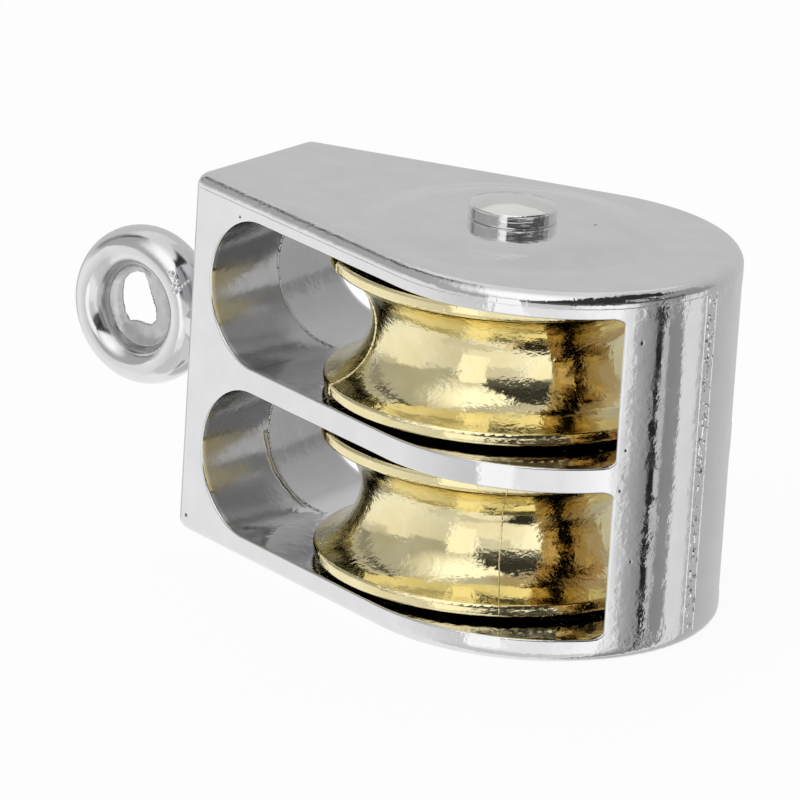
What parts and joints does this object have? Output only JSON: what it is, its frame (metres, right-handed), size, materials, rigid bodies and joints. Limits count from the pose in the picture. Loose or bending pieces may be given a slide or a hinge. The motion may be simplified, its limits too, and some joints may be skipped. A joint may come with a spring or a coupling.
{
  "type": "double pulley block",
  "caption": "Pulley block with grooved sheaves side by side on one axle in a plated cast frame, and a swivel eye to hang it from.",
  "frame": {"origin": "foot of the axle on the lower side face, which the block rests on", "axes": "+Z along the axle towards its domed head, +X from the swivel eye towards the round end"},
  "size_m": [0.0548, 0.0266, 0.0287],
  "materials": {
    "nickel_plate": "bright nickel plating over a die casting",
    "brass_plate": "bright pale brass plating over a die casting"
  },
  "bodies": {
    "block": {"frame": "nickel_plate", "axle_pin": "nickel_plate"},
    "upper_wheel": {"upper_sheave": "brass_plate"},
    "lower_wheel": {"lower_sheave": "brass_plate"},
    "eye": {"swivel_eye": "nickel_plate"}
  },
  "joints": [
    {"name": "upper_sheave_spin", "type": "hinge", "parent": "block", "child": "upper_wheel", "pos_m": [0, 0, 0.0195], "axis": [0, 0, 1], "continuous": true},
    {"name": "lower_sheave_spin", "type": "hinge", "parent": "block", "child": "lower_wheel", "pos_m": [0, 0, 0.0071], "axis": [0, 0, 1], "continuous": true},
    {"name": "eye_swivel", "type": "hinge", "parent": "block", "child": "eye", "pos_m": [-0.0232, 0, 0.0133], "axis": [1, 0, 0], "continuous": true}
  ]
}
